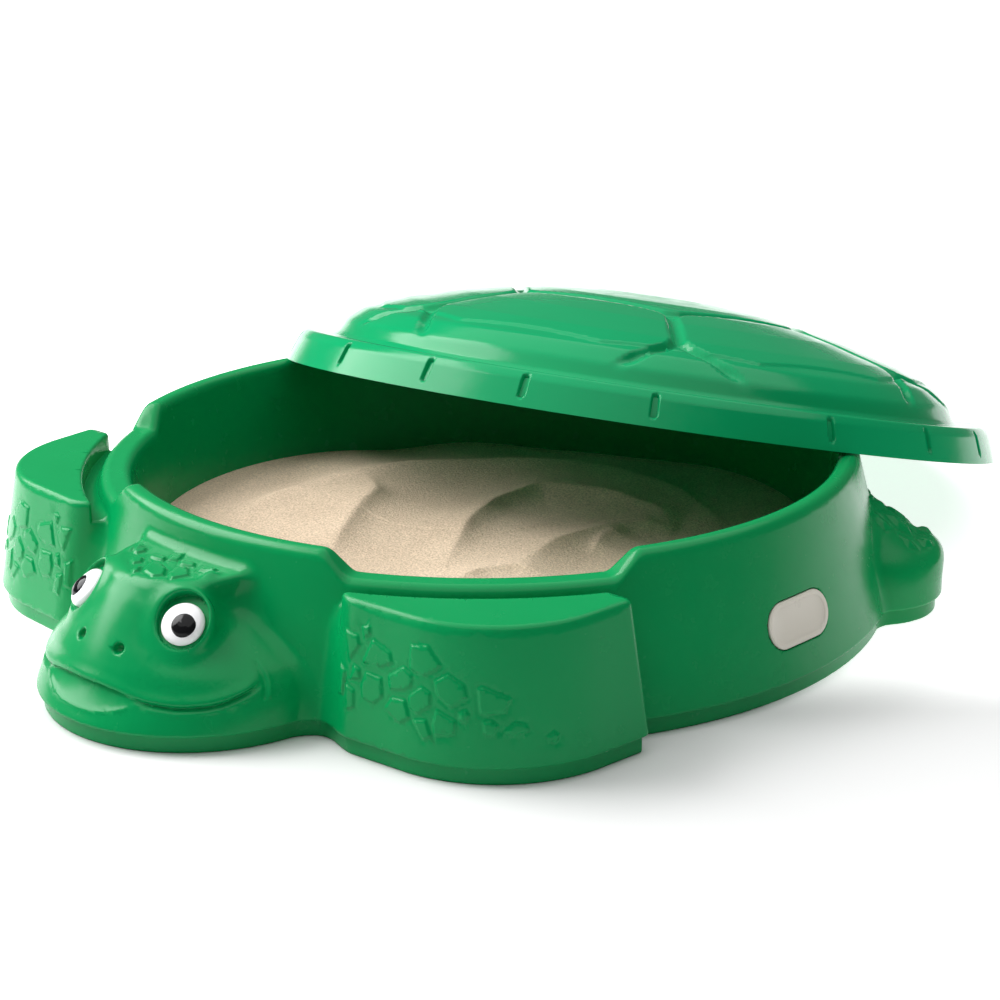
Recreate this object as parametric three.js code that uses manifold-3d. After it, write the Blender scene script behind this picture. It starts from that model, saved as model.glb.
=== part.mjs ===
// Turtle-shaped sandbox with a lift-off shell cover, in millimetres, +Z up.
// The origin is on the floor under the centre of the round tub. The turtle's head points along -Y,
// so its own left side is +X.
import * as THREE from "three";
import { mergeVertices } from "three/addons/utils/BufferGeometryUtils.js";
import Module from "manifold-3d";

const wasm = await Module();
wasm.setup();

// ---- Driving dimensions ----

const SKIN = 4; // wall of the hollow moulding
const GAP = 0.4; // clearance between pieces that touch

const BASE_RADIUS = 481; // foot band under the tub
const BAND_INSET = 6; // how far the foot band stands back from the wall above it
const BAND_TOP = 18;
const LEDGE_Z = 21; // the wall starts here, BAND_INSET wider than the band
const FLOOR_Z = 26; // inside floor of the tub
const RIM_TOP = 190;
const RIM_RADIUS = 432; // centre line of the rounded rim
const RIM_FILLET = 14;
const WALL_FLARE = 0.2645; // outer wall, mm of radius per mm of height
const BASIN_FLARE = 0.178; // inner wall
const TUB_SEGMENTS = 60;
const HOLLOW_SEGMENTS = 36; // the hidden hollows are coarser
const STEP = 0.3; // the low rim stands this far inside the wall below it
const LIMB_END = 8; // head, legs and seats reach this close to the inner wall

const NOTCH_TOP = 165; // the rim is this low behind each front-leg seat
const NOTCH_FILLET = 12;
const NOTCH_ANGLE = 43.15; // from the head axis, degrees
const NOTCH_HALF = 18.25; // half-angle at NOTCH_TOP
const NOTCH_SPREAD = 3.45 / 25; // the shoulders lean back, degrees per mm

const SEAT_TOP = 162;
const SEAT_CORNER = { x: 275, y: -268, radius: 164 }; // round outer corner of a front-leg seat
const SEAT_LEAN = 5; // the flat sides open this many degrees from the axes
const SEAT_HEAD_END = 212; // x of the end next to the head
const SEAT_TAIL_END = -247; // y of the other end
const SEAT_FLARE = 24 / 141;
const GROOVE_RADIUS = 472; // outer side of the groove that takes the cover's skirt
const GROOVE_FLOOR = 140;

const HEAD_Y = -441; // centre of the head's round plan
const HEAD_LEVELS = [
  // height, half width, depth in front of HEAD_Y
  [0, 171, 172],
  [BAND_TOP, 171, 172],
  [LEDGE_Z, 177, 178],
  [40, 175, 171],
  [60, 168, 160],
  [78, 152, 152],
  [97, 125, 140],
  [115, 104, 129],
  [130, 94, 117],
  [146, 88, 103],
  [156, 80, 88],
];

const LEG_ANGLE = 36.6; // rear legs, from the X axis, degrees
const LEG_TIP_RADIUS = 78;
const LEG_LEVELS = [
  // height, reach from the tub's centre, half width at the tub
  [0, 541, 89],
  [BAND_TOP, 541, 89],
  [LEDGE_Z, 548, 94],
  [50, 548, 92],
  [66, 543, 90],
  [76, 533, 87],
  [88, 516, 81],
  [108, 493, 70],
  [128, 465, 56],
  [138, 452, 46],
];

const EYE_CENTRE = new THREE.Vector3(78, -531, 121); // left eye, middle of the white's back
const EYE_NORMAL = new THREE.Vector3(0.32, -0.72, 0.62).normalize();
const EYE_RADIUS = 23.5;
const EYE_EDGE = 3; // thickness of the white at its edge
const EYE_BULGE = 5.5; // and how much more it has in the middle
const PUPIL_RADIUS = 13.6;
const PUPIL_HEIGHT = 8;
const SOCKET_RADIUS = 31;
const SOCKET_DEPTH = 3; // the white sits this deep in its socket
const PEG_RADIUS = 5;
const PEG_LENGTH = 9;
const EYE_SEGMENTS = 24;

const BADGE_Z = 80; // plain name-plate blank on the left side
const BADGE_SIZE = { length: 104, height: 52, thickness: 3 };
const POCKET_MARGIN = 1.2;
const POCKET_DEPTH = 4.5;

const VENT_RADIUS = 3; // moulding vent in the underside
const VENT_PLACE = { x: 0, y: 300 };

const SAND_EDGE_Z = 72;
const SAND_MARGIN = 3; // sand to plastic, more than the basin's facets are deep
const SAND_RINGS = 7;

const LID = {
  radius: 468, // lower edge of the skirt
  skin: 4,
  shoulderRadius: 451, // top of the skirt
  flangeZ: 45,
  domeRadius: 396, // foot of the raised shell
  segments: 60,
  plateRise: 6, // plates stand this far above the grooves between them
  grooveHalf: 6,
  hexRadius: 207, // corners of the middle plate
  forkRadius: 335, // where each spoke groove forks
  turn: 15, // the shell's pattern is turned this many degrees about the cover's own axis
};
const LID_CENTRE = new THREE.Vector3(-71.9, 375.9, 129);
const LID_LEAN = 15.38; // the cover leans back, off the rim and down to the floor, degrees
const LID_ROLL = -3.03; // and a little towards -X

// ---- Materials ----

const plastic = (color, roughness) =>
  new THREE.MeshStandardMaterial({ color, roughness, metalness: 0 });
const tubGreen = plastic(0x00913f, 0.35);
const lidGreen = plastic(0x00a862, 0.3);
const eyeWhite = plastic(0xf2f3f8, 0.25);
const eyeBlack = plastic(0x0b0a0a, 0.08);
const badgeCream = plastic(0xe9e4d4, 0.35);
const sandBeige = plastic(0xbfa98a, 1.0);

// ---- Geometry helpers ----

const radians = THREE.MathUtils.degToRad;
const v2 = (x, y) => new THREE.Vector2(x, y);

// A closed three.js geometry as a manifold solid.
function solid(geometry) {
  const bare = new THREE.BufferGeometry();
  bare.setAttribute("position", geometry.getAttribute("position"));
  if (geometry.index) bare.setIndex(geometry.index);
  const merged = mergeVertices(bare, 1e-3);
  const index = merged.index.array;
  const kept = [];
  for (let i = 0; i < index.length; i += 3) {
    const [a, b, c] = [index[i], index[i + 1], index[i + 2]];
    if (a !== b && b !== c && c !== a) kept.push(a, b, c);
  }
  const positions = new Float32Array(merged.getAttribute("position").array);
  const mesh = new wasm.Mesh({
    numProp: 3,
    vertProperties: positions,
    triVerts: new Uint32Array(kept),
  });
  mesh.merge();
  return new wasm.Manifold(mesh);
}

function namedMesh(name, made, material) {
  const { vertProperties, triVerts } = made.getMesh();
  const geometry = new THREE.BufferGeometry();
  geometry.setAttribute("position", new THREE.BufferAttribute(vertProperties, 3));
  geometry.setIndex(new THREE.BufferAttribute(triVerts, 1));
  geometry.computeVertexNormals();
  const mesh = new THREE.Mesh(geometry, material);
  mesh.name = name;
  return mesh;
}

// A profile of [radius, height] points, from the lowest axis point out and back, turned about Z.
function turned(profile, segments) {
  const points = profile
    .map(([r, z]) => v2(r, z))
    .filter((point, i, all) => i === 0 || point.distanceTo(all[i - 1]) > 0.05);
  return solid(new THREE.LatheGeometry(points, segments).rotateX(Math.PI / 2));
}

// Points of an arc in a profile, from angle a to angle b in degrees.
function arc(cx, cy, radius, a, b, steps) {
  const points = [];
  for (let i = 0; i <= steps; i++) {
    const t = radians(a + ((b - a) * i) / steps);
    points.push([cx + radius * Math.cos(t), cy + radius * Math.sin(t)]);
  }
  return points;
}

// A solid through convex outlines, all with the same number of [x, y] points, one at each height.
function loft(levels) {
  const n = levels[0].outline.length;
  const positions = [];
  levels.forEach(({ z, outline }) => outline.forEach(([x, y]) => positions.push(x, y, z)));
  const index = [];
  for (let k = 0; k + 1 < levels.length; k++) {
    for (let i = 0; i < n; i++) {
      const a = k * n + i;
      const b = k * n + ((i + 1) % n);
      index.push(a, b, b + n, a, b + n, a + n);
    }
  }
  const top = (levels.length - 1) * n;
  for (let i = 1; i + 1 < n; i++) {
    index.push(0, i + 1, i, top, top + i, top + i + 1);
  }
  const geometry = new THREE.BufferGeometry();
  geometry.setAttribute("position", new THREE.Float32BufferAttribute(positions, 3));
  geometry.setIndex(index);
  return solid(geometry);
}

// An upright prism over a closed outline of [x, y] points.
function prism(outline, z0, z1) {
  const shape = new THREE.Shape(outline.map(([x, y]) => v2(x, y)));
  const geometry = new THREE.ExtrudeGeometry(shape, { depth: z1 - z0, bevelEnabled: false });
  return solid(geometry.translate(0, 0, z0));
}

const drum = (radius, z0, z1, segments) =>
  turned([[0, z0], [radius, z0], [radius, z1], [0, z1]], segments);

const mirrored = (made) => made.mirror([1, 0, 0]);
const bothSides = (made) => made.add(mirrored(made));

// ---- The tub: a hollow moulding with the turtle's head and legs ----

const outerWall = (z) => BASE_RADIUS + BAND_INSET - (z - LEDGE_Z) * WALL_FLARE;
const innerWall = (z) => RIM_RADIUS - RIM_FILLET - (RIM_TOP - RIM_FILLET - z) * BASIN_FLARE;

// The round tub with its rim at a given height; inset > 0 gives the hollow inside its walls.
function ring(rimTop, fillet, inset) {
  const z = rimTop - fillet;
  const r = fillet - inset;
  const low = BASE_RADIUS - inset;
  const steps = inset > 0 ? 2 : 3;
  return turned(
    [
      [0, inset],
      [low, inset],
      [low, BAND_TOP],
      [low + BAND_INSET, LEDGE_Z],
      ...arc(outerWall(z) - fillet, z, r, 0, 90, steps),
      ...arc(innerWall(z) + fillet, z, r, 90, 180, steps),
      [innerWall(FLOOR_Z) + inset, FLOOR_Z - inset],
      [0, FLOOR_Z - inset],
    ],
    inset > 0 ? HOLLOW_SEGMENTS : TUB_SEGMENTS,
  );
}

// The space that a notch takes out of the rim; grow > 0 makes it that much larger on every side.
function notch(grow) {
  const level = (z) => {
    const half = NOTCH_HALF + (z - NOTCH_TOP) * NOTCH_SPREAD + grow * 0.2;
    const at = (r, degrees) => {
      const t = radians(-90 + NOTCH_ANGLE + degrees);
      return [r * Math.cos(t), r * Math.sin(t)];
    };
    const outline = [];
    for (let i = 0; i <= 8; i++) outline.push(at(500 + grow, -half + (half * i) / 4));
    outline.push(at(390, half * 0.98), at(390, -half * 0.98));
    return { z: z - grow, outline };
  };
  const sector = loft([level(NOTCH_TOP - NOTCH_FILLET), level(RIM_TOP + 12)]);
  return bothSides(sector);
}

function seat(inset) {
  const outline = (spread) => {
    const radius = SEAT_CORNER.radius + spread - inset;
    const steps = inset > 0 ? 5 : 8;
    const corner = arc(SEAT_CORNER.x, SEAT_CORNER.y, radius, -90 + SEAT_LEAN, -SEAT_LEAN, steps);
    const slope = Math.tan(radians(SEAT_LEAN));
    const [x0, y0] = corner[0];
    const [x1, y1] = corner[corner.length - 1];
    const headEnd = SEAT_HEAD_END + inset;
    const tailEnd = SEAT_TAIL_END - inset;
    return [
      [headEnd, -375],
      [headEnd, y0 - (x0 - headEnd) * slope],
      ...corner,
      [x1 + (tailEnd - y1) * slope, tailEnd],
      [345, tailEnd],
    ];
  };
  const flare = (z) => (SEAT_TOP - z) * SEAT_FLARE;
  const block = loft([
    { z: inset, outline: outline(flare(LEDGE_Z) - BAND_INSET) },
    { z: BAND_TOP, outline: outline(flare(LEDGE_Z) - BAND_INSET) },
    { z: LEDGE_Z, outline: outline(flare(LEDGE_Z)) },
    { z: SEAT_TOP - 6, outline: outline(flare(SEAT_TOP - 6)) },
    { z: SEAT_TOP - inset, outline: outline(-4) },
  ]);
  return block.subtract(drum(GROOVE_RADIUS + inset, GROOVE_FLOOR - inset, RIM_TOP, TUB_SEGMENTS));
}

function head(inset) {
  const sides = inset > 0 ? 16 : 28;
  const levels = HEAD_LEVELS.map(([z, halfWidth, depth]) => ({
    z: z === 0 ? inset : z > 100 ? z - inset : z,
    outline: Array.from({ length: sides }, (_, i) => {
      const t = (i * 2 * Math.PI) / sides;
      return [(halfWidth - inset) * Math.cos(t), HEAD_Y + (depth - inset) * Math.sin(t)];
    }),
  }));
  return loft(levels);
}

function rearLeg(inset) {
  const steps = inset > 0 ? 4 : 7;
  const levels = LEG_LEVELS.map(([z, reach, halfWidth]) => {
    const tip = Math.min(LEG_TIP_RADIUS, halfWidth * 0.83) - inset;
    const w = halfWidth - inset;
    const outline = [[400, -w - 2], ...arc(reach - inset - tip, 0, tip, -66, 66, steps), [400, w + 2]];
    outline.splice(1, 0, [440, -w]);
    outline.splice(-1, 0, [440, w]);
    const [c, s] = [Math.cos(radians(LEG_ANGLE)), Math.sin(radians(LEG_ANGLE))];
    return {
      z: z === 0 ? inset : z > 100 ? z - inset : z,
      outline: outline.map(([u, v]) => [u * c - v * s, u * s + v * c]),
    };
  });
  return loft(levels);
}

// A piece made about +Z, moved to the left eye so that +Z is the way the eye looks.
function atEye(made) {
  const turn = new THREE.Quaternion().setFromUnitVectors(new THREE.Vector3(0, 0, 1), EYE_NORMAL);
  const matrix = new THREE.Matrix4().compose(EYE_CENTRE, turn, new THREE.Vector3(1, 1, 1));
  return made.transform(matrix.elements);
}

// The same for the badge: +Z points out of the side wall, and X runs along it.
function atBadge(made) {
  const lean = Math.atan(WALL_FLARE);
  const matrix = new THREE.Matrix4()
    .makeTranslation(outerWall(BADGE_Z), 0, BADGE_Z)
    .multiply(new THREE.Matrix4().makeRotationY(Math.PI / 2 - lean))
    .multiply(new THREE.Matrix4().makeRotationZ(Math.PI / 2));
  return made.transform(matrix.elements);
}

// A pill-shaped slab, centred on the axis.
function pill(length, height, z0, z1) {
  const r = height / 2;
  const dx = length / 2 - r;
  return prism([...arc(dx, 0, r, -90, 90, 8), ...arc(-dx, 0, r, 90, 270, 8)], z0, z1);
}

// The space inside the tub's inner wall, a margin wider all round.
const basin = (margin) =>
  turned(
    [
      [0, -10],
      [innerWall(-10) + margin, -10],
      [innerWall(RIM_TOP + 20) + margin, RIM_TOP + 20],
      [0, RIM_TOP + 20],
    ],
    HOLLOW_SEGMENTS,
  );

// The tub with head, seats and legs, whose inner ends stop inside the tub's double wall.
function body(inset) {
  const rim = ring(RIM_TOP, RIM_FILLET, inset).subtract(notch(inset));
  const lowRim = ring(NOTCH_TOP, NOTCH_FILLET, inset + STEP);
  const limbs = head(inset).add(bothSides(seat(inset))).add(bothSides(rearLeg(inset)));
  return rim.add(lowRim).add(limbs.subtract(basin(inset + LIMB_END)));
}

function makeTub() {
  const socketBoss = bothSides(atEye(drum(SOCKET_RADIUS, -24, 1, EYE_SEGMENTS)));
  const whiteHole = drum(EYE_RADIUS + GAP, -SOCKET_DEPTH, 30, EYE_SEGMENTS);
  const pegHole = drum(PEG_RADIUS + GAP, -14, 0, EYE_SEGMENTS);
  const socketHole = bothSides(atEye(whiteHole.add(pegHole)));
  const pocket = (margin, depth) =>
    atBadge(
      pill(BADGE_SIZE.length + 2 * margin, BADGE_SIZE.height + 2 * margin, -depth, 12),
    );
  const outside = body(0).add(socketBoss);
  const hollow = body(SKIN)
    .subtract(bothSides(atEye(drum(SOCKET_RADIUS, -24, 40, EYE_SEGMENTS))))
    .subtract(pocket(POCKET_MARGIN + SKIN, POCKET_DEPTH + SKIN));
  const vent = drum(VENT_RADIUS, -1, SKIN + 1, 12).translate([VENT_PLACE.x, VENT_PLACE.y, 0]);
  return outside
    .subtract(hollow)
    .subtract(socketHole)
    .subtract(pocket(POCKET_MARGIN, POCKET_DEPTH))
    .subtract(vent);
}

// ---- Eyes, badge and sand ----

function makeEyeWhite() {
  const disc = turned(
    [
      [0, -PEG_LENGTH - SOCKET_DEPTH],
      [PEG_RADIUS, -PEG_LENGTH - SOCKET_DEPTH],
      [PEG_RADIUS, GAP - SOCKET_DEPTH],
      [EYE_RADIUS, GAP - SOCKET_DEPTH],
      [EYE_RADIUS, EYE_EDGE - SOCKET_DEPTH],
      [EYE_RADIUS * 0.9, EYE_EDGE + EYE_BULGE * 0.35 - SOCKET_DEPTH],
      [EYE_RADIUS * 0.6, EYE_EDGE + EYE_BULGE * 0.8 - SOCKET_DEPTH],
      [0, EYE_EDGE + EYE_BULGE - SOCKET_DEPTH],
    ],
    EYE_SEGMENTS,
  );
  const seatForPupil = drum(PUPIL_RADIUS + GAP, EYE_EDGE - SOCKET_DEPTH, 20, EYE_SEGMENTS);
  return atEye(disc.subtract(seatForPupil));
}

function makePupil() {
  const base = EYE_EDGE - SOCKET_DEPTH + GAP;
  const profile = [[0, base], [PUPIL_RADIUS, base], [PUPIL_RADIUS, base + 2]];
  for (const t of [30, 55, 75]) {
    profile.push([
      PUPIL_RADIUS * Math.cos(radians(t)),
      base + 2 + (PUPIL_HEIGHT - 2) * Math.sin(radians(t)),
    ]);
  }
  profile.push([0, base + PUPIL_HEIGHT]);
  return atEye(turned(profile, EYE_SEGMENTS));
}

function makeBadge() {
  const { length, height, thickness } = BADGE_SIZE;
  const back = GAP - POCKET_DEPTH;
  const plate = pill(length, height, back, back + thickness);
  const field = pill(length - 14, height - 14, back + thickness - 1, 20);
  return atBadge(plate.subtract(field));
}

// Height of the sand's surface: a few low drifts that die out at the wall.
function sandHeight(x, y) {
  const r = Math.hypot(x, y);
  const reach = innerWall(SAND_EDGE_Z);
  const fade = 1 - THREE.MathUtils.smoothstep(r, reach * 0.55, reach);
  const drift = (cx, cy, across, height) =>
    height * Math.exp(-((x - cx) ** 2 + (y - cy) ** 2) / across ** 2);
  const waves = 5 * Math.sin(x * 0.016 + y * 0.011) + 4 * Math.cos(x * 0.009 - y * 0.021);
  const drifts = drift(-60, 120, 190, 16) + drift(140, -70, 150, 11) + drift(-190, -90, 120, 9);
  return SAND_EDGE_Z + fade * (waves + drifts);
}

function makeSand() {
  const profile = [
    [0, FLOOR_Z + GAP],
    [innerWall(FLOOR_Z) - SAND_MARGIN, FLOOR_Z + GAP],
  ];
  const edge = innerWall(SAND_EDGE_Z) - SAND_MARGIN;
  for (let i = 0; i < SAND_RINGS; i++) profile.push([edge * (1 - i / SAND_RINGS), SAND_EDGE_Z]);
  profile.push([0, SAND_EDGE_Z]);
  const points = profile.map(([r, z]) => v2(r, z));
  const geometry = new THREE.LatheGeometry(points, HOLLOW_SEGMENTS).rotateX(Math.PI / 2);
  const position = geometry.getAttribute("position");
  for (let i = 0; i < position.count; i++) {
    if (position.getZ(i) > SAND_EDGE_Z - 1) {
      position.setZ(i, sandHeight(position.getX(i), position.getY(i)));
    }
  }
  return solid(geometry);
}

// ---- The cover: one moulded skin, a shell of raised plates over a skirt ----

// Outer profile of the cover; drop lowers the dome, which gives the level of the grooves.
function shellProfile(drop, inset) {
  const foot = LID.domeRadius - inset;
  return [
    [0, -inset],
    [LID.radius - inset, -inset],
    [LID.shoulderRadius + 3 - inset, 33 - inset * 0.3],
    [LID.shoulderRadius - 4 - inset, LID.flangeZ - 3 - inset],
    [foot + 10, LID.flangeZ - inset],
    [foot, LID.flangeZ + 5 - inset],
    ...(drop > 0
      ? [[foot - 6, 68 - inset]]
      : [[foot - 5, 62 - inset], [foot - 11, 73 - inset]]),
    [foot - 23, 84 - drop - inset],
    [325, 100 - drop - inset],
    [256, 120 - drop - inset],
    [200, 133 - drop - inset],
    [150, 143 - drop - inset],
    [75, 151 - drop - inset],
    [0, 154 - drop - inset],
  ];
}

const polar = (r, degrees) => {
  const t = radians(degrees - 90 + LID.turn);
  return [r * Math.cos(t), r * Math.sin(t)];
};

// A convex outline drawn in by a distance, by moving each side inwards.
function drawnIn(outline, distance) {
  const n = outline.length;
  const sides = outline.map(([x0, y0], i) => {
    const [x1, y1] = outline[(i + 1) % n];
    const length = Math.hypot(x1 - x0, y1 - y0);
    const [nx, ny] = [-(y1 - y0) / length, (x1 - x0) / length];
    return { nx, ny, d: nx * x0 + ny * y0 + distance };
  });
  return sides.map((b, i) => {
    const a = sides[(i + n - 1) % n];
    const det = a.nx * b.ny - a.ny * b.nx;
    return [(a.d * b.ny - b.d * a.ny) / det, (a.nx * b.d - b.nx * a.d) / det];
  });
}

// Plan outlines of the thirteen plates: one hexagon, six large plates and six at the forks.
function plateOutlines() {
  const outlines = [[0, 60, 120, 180, 240, 300].map((a) => polar(LID.hexRadius, a + 30))];
  for (let a = 0; a < 360; a += 60) {
    outlines.push([
      polar(LID.hexRadius, a - 30),
      polar(LID.forkRadius, a - 30),
      polar(430, a - 15),
      polar(430, a + 15),
      polar(LID.forkRadius, a + 30),
      polar(LID.hexRadius, a + 30),
    ]);
    outlines.push([polar(LID.forkRadius, a + 30), polar(430, a + 15), polar(430, a + 45)]);
  }
  return outlines;
}

function makeLid() {
  const { skin, segments, plateRise, grooveHalf } = LID;
  const form = (inset) => {
    const around = inset > 0 ? segments / 2 : segments;
    const low = turned(shellProfile(plateRise, inset), around);
    const high = turned(shellProfile(0, inset), around);
    const plates = plateOutlines()
      .map((outline) => prism(drawnIn(outline, grooveHalf + inset), 48, 200))
      .reduce((all, one) => all.add(one));
    return low.add(high.intersect(plates));
  };
  return form(0).subtract(form(skin));
}

// ---- The assembly ----

const sandbox = new THREE.Group();
sandbox.add(namedMesh("tub", makeTub(), tubGreen));
const white = makeEyeWhite();
const pupil = makePupil();
sandbox.add(namedMesh("eye_white_left", white, eyeWhite));
sandbox.add(namedMesh("eye_white_right", mirrored(white), eyeWhite));
sandbox.add(namedMesh("eye_pupil_left", pupil, eyeBlack));
sandbox.add(namedMesh("eye_pupil_right", mirrored(pupil), eyeBlack));
sandbox.add(namedMesh("badge_plate", makeBadge(), badgeCream));
sandbox.add(namedMesh("sand_fill", makeSand(), sandBeige));

const cover = new THREE.Group();
cover.position.copy(LID_CENTRE);
cover.rotation.set(radians(-LID_LEAN), radians(LID_ROLL), 0, "YXZ");
cover.add(namedMesh("lid", makeLid(), lidGreen));
sandbox.add(cover);

export default sandbox;
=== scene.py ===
"""Looks of a turtle-shaped sandbox with its shell cover leaning on the rim.

The tub is a distance field in millimetres that is meshed, the cover is a turned sheet with relief, the
sand is a drifted surface, and the eyes and the name-plate blank are small turned and stepped pieces.
The turtle's head points along -Y, and +X is its own left side.
"""
import math

import bpy
import numpy as np
import openvdb
from mathutils import Matrix, Vector


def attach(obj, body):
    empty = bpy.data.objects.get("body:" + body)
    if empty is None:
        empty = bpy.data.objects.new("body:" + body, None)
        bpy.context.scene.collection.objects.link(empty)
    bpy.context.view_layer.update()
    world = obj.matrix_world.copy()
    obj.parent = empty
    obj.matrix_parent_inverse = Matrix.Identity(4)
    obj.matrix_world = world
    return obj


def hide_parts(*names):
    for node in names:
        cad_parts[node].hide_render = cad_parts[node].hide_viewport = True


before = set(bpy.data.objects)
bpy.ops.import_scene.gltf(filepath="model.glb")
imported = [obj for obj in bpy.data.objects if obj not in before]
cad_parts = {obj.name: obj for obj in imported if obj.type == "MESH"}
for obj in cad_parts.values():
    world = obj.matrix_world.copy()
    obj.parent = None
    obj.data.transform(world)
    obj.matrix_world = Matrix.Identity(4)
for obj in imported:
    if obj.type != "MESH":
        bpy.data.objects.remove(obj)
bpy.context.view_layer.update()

MM = 0.001
VOXEL = 2.0
BLOCK, CHUNK = 4, 8000
ADAPTIVITY = 0.02


# ---- Tools for distance fields, in millimetres ----

def convex(a, b, radius):
    """Both of two fields, with the edge between them rounded."""
    outside = np.hypot(np.maximum(a + radius, 0), np.maximum(b + radius, 0))
    return np.minimum(np.maximum(a, b), -radius) + outside


def concave(a, b, radius):
    """Either of two fields, with a fillet of that radius in the corner between them."""
    inside = np.hypot(np.maximum(radius - a, 0), np.maximum(radius - b, 0))
    return np.maximum(np.minimum(a, b), radius) - inside


def smooth_min(a, b, width):
    h = np.maximum(width - np.abs(a - b), 0) / width
    return np.minimum(a, b) - h * h * width / 4


def smooth_max(a, b, width):
    return -smooth_min(-a, -b, width)


def smoothstep(low, high, x):
    t = np.clip((x - low) / (high - low), 0, 1)
    return t * t * (3 - 2 * t)


def profile(points, soft):
    """A smoothed curve through (position, value) points, as a function."""
    at, value = np.array(points, float).T
    fine = np.arange(at[0] - 3 * soft, at[-1] + 3 * soft, 0.5)
    raw = np.interp(fine, at, value)
    weights = np.hanning(int(4 * soft) | 1)
    pad = len(weights) // 2
    smooth = np.convolve(np.pad(raw, pad, mode="edge"), weights / weights.sum(), "valid")
    return lambda x: np.interp(x, fine, smooth)


# ---- The tub ----
# Factors just under 1 in its fields turn a level distance into the distance square to a sloping side.

RIM_TOP, NOTCH_TOP, RIM_ROUND = 190.0, 165.0, 9
NOTCH_ANGLE, NOTCH_HALF, NOTCH_LEAN, NOTCH_SOFT = 43.15, 18.25, 0.96, 6
NOTCH_RADIUS = 432
BAND_INSET, BAND_TOP, LEDGE = 6.0, 24, 19.5
# The outer wall's radius at WALL_FOOT, and how much it loses for each mm upwards.
WALL_RADIUS, WALL_FOOT, WALL_SLOPE = 487, 21, 0.2645
# The basin's radius at BASIN_LEVEL, and how much it loses for each mm downwards.
BASIN_RADIUS, BASIN_LEVEL, BASIN_SLOPE, BASIN_FLOOR = 418, 176, 0.178, 26
SEAT_TOP, SEAT_CORNER, SEAT_RADIUS, SEAT_LEAN = 162.0, (295.0, -290.0), 140.0, 5.0
SEAT_BACK, SEAT_END, SEAT_END_ROUND, SEAT_FLARE = -241, 192, 44, 0.17
GROOVE_RADIUS, GROOVE_FLOOR = 472.0, 140.0
HEAD_Y = -441.0
LEG_ANGLE, LEG_ROUND = 36.6, 84
# Middle and half sizes of the swelling at the toes: outwards, across and up.
TOE, TOE_SIZE = (520, 0, 60), (29, 50, 25)

EYE = np.array([78.0, -531.0, 121.0])
GAZE = np.array([0.31, -0.64, 0.70])
GAZE = GAZE / np.linalg.norm(GAZE)
EYE_ACROSS = np.cross([0, 0, 1], GAZE)
EYE_ACROSS = EYE_ACROSS / np.linalg.norm(EYE_ACROSS)
EYE_UP = np.cross(GAZE, EYE_ACROSS)
HOUSING_RADIUS, SOCKET_RADIUS, SOCKET_FLOOR = 35, 28, -3.0
# Middle and half sizes of the hollow temple and of a nostril, and the middle of the horn over an eye.
TEMPLE, TEMPLE_SIZE = (98, -478, 134), (18, 32, 18)
NOSTRIL, NOSTRIL_SIZE = (30, -578, 95), (6.2, 7.0, 5.6)
HORN, HORN_RADIUS = (61, -478, 152), 8
CROWN_TOP, CROWN_ROUND = 156.5, 8

# Height, half width at the tub and reach in front of HEAD_Y of the turtle's head.
HEAD_LEVELS = [
    (0, 177, 184), (21, 177, 182), (33, 176, 175), (45, 174, 167), (60, 168, 160), (75, 156, 155),
    (90, 136, 146), (105, 112, 136), (120, 97, 125), (135, 91, 113), (150, 88, 99), (165, 86, 88),
]
head_width = profile([(z, a) for z, a, b in HEAD_LEVELS], 9)
head_reach = profile([(z, b) for z, a, b in HEAD_LEVELS], 7)

# Height, reach from the tub's centre and half width of a rear leg.
LEG_LEVELS = [
    (0, 548, 94), (50, 548, 92), (66, 543, 90), (76, 533, 87), (88, 516, 81), (108, 493, 70),
    (128, 462, 56), (136, 442, 46),
]
leg_reach = profile([(z, u) for z, u, w in LEG_LEVELS], 8)
leg_width = profile([(z, w) for z, u, w in LEG_LEVELS], 8)

# Angle from the front of the head and height of the edge of the upper and the lower lip.
upper_lip = profile([(0, 61), (8, 61), (18, 58), (29, 51), (40, 48.5), (51, 50), (57, 53), (64, 59),
                     (72, 67), (90, 86)], 3)
lower_lip = profile([(0, 34.5), (7, 34.5), (14, 37), (20, 42), (27, 49), (40, 60)], 3)
MOUTH_CORNER, LIPS_MEET = 71.0, 27.0


def polar(x, y, cx=0.0, cy=0.0):
    """Distance from an upright axis, and the angle from the head's direction in degrees."""
    return np.hypot(x - cx, y - cy), np.degrees(np.arctan2(np.abs(x - cx), -(y - cy)))


def rim_height(angle):
    """Height of the rim, which dips behind each front-leg seat."""
    arc = (np.abs(angle - NOTCH_ANGLE) - NOTCH_HALF) * math.radians(1) * NOTCH_RADIUS
    ramp = NOTCH_TOP + arc * NOTCH_LEAN
    return smooth_max(smooth_min(ramp, RIM_TOP, NOTCH_SOFT), NOTCH_TOP, NOTCH_SOFT)


def wall_radius(z):
    return WALL_RADIUS - WALL_SLOPE * (z - WALL_FOOT)


def basin_side(r, z):
    """Distance into the plastic from the basin's sloping side, negative inside the basin."""
    return (r - BASIN_RADIUS + BASIN_SLOPE * (BASIN_LEVEL - z)) * 0.984


def wall(x, y, z):
    """The ring of the tub's double wall, with the basin's floor inside it."""
    r, angle = polar(x, y)
    outer = (r - wall_radius(z)) * 0.967
    ring = convex(np.maximum(outer, -basin_side(r, z)), z - rim_height(angle), RIM_ROUND)
    floor = np.maximum(r - 440, z - BASIN_FLOOR)
    return np.minimum(ring, floor)


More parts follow.
